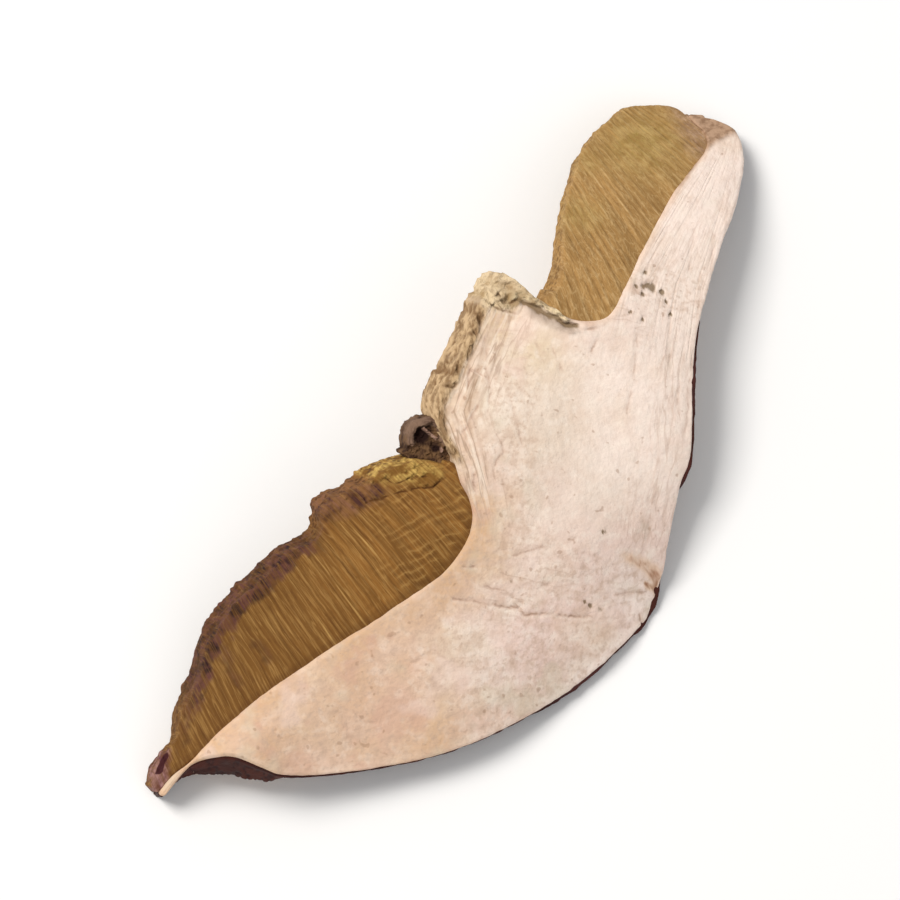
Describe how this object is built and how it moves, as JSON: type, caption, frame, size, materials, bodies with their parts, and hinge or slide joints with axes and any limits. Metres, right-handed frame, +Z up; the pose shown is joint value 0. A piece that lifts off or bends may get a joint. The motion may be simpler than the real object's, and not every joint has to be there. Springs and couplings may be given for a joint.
{
  "type": "dried bay bolete",
  "caption": "Dried slice of bay bolete, cut lengthwise: cream cap flesh with a stub of stem, ochre tubes and plum-brown cap skin. It lies domed on its back.",
  "frame": {"origin": "centre of the bounding box's base, on the surface that the slice lies on", "axes": "+Z up, out of the cut face; +Y from the cap's lower tip towards its upper tip; +X towards the cap's margin, to the right as one looks down on the cut face with +Y away"},
  "size_m": [0.0446, 0.0554, 0.0086],
  "materials": {
    "flesh": "matte, dry and finely fibrous, like soft cork",
    "tubes": "matte, brittle bundles of fine tubes",
    "skin": "thin and leathery, wrinkled, with a dull sheen"
  },
  "bodies": {
    "root": {"cap_and_stem": "flesh", "tubes_long": "tubes", "tubes_short": "tubes", "cap_skin": "skin"}
  },
  "joints": []
}
